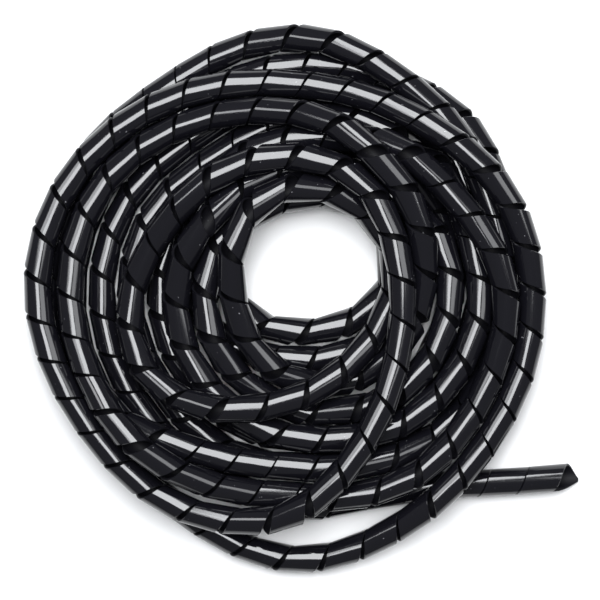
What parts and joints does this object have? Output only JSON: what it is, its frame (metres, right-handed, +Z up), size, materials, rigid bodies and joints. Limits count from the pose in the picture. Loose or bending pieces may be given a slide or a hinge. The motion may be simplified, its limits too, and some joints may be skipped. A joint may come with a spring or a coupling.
{
  "type": "spiral cable wrap",
  "caption": "Black spiral cable wrap: a tube cut along a helix into a ribbon, wound by hand into one loose round coil with a short straight tail.",
  "frame": {"origin": "middle of the coil's outline, on the surface that it lies on", "axes": "+Z up, along the coil's axis; the free tail leaves the coil's front right side towards +X"},
  "size_m": [0.2044, 0.2014, 0.0355],
  "materials": {
    "wrap_polyethylene": "glossy black extruded polyethylene"
  },
  "bodies": {
    "root": {"spiral_wrap": "wrap_polyethylene"}
  },
  "joints": []
}
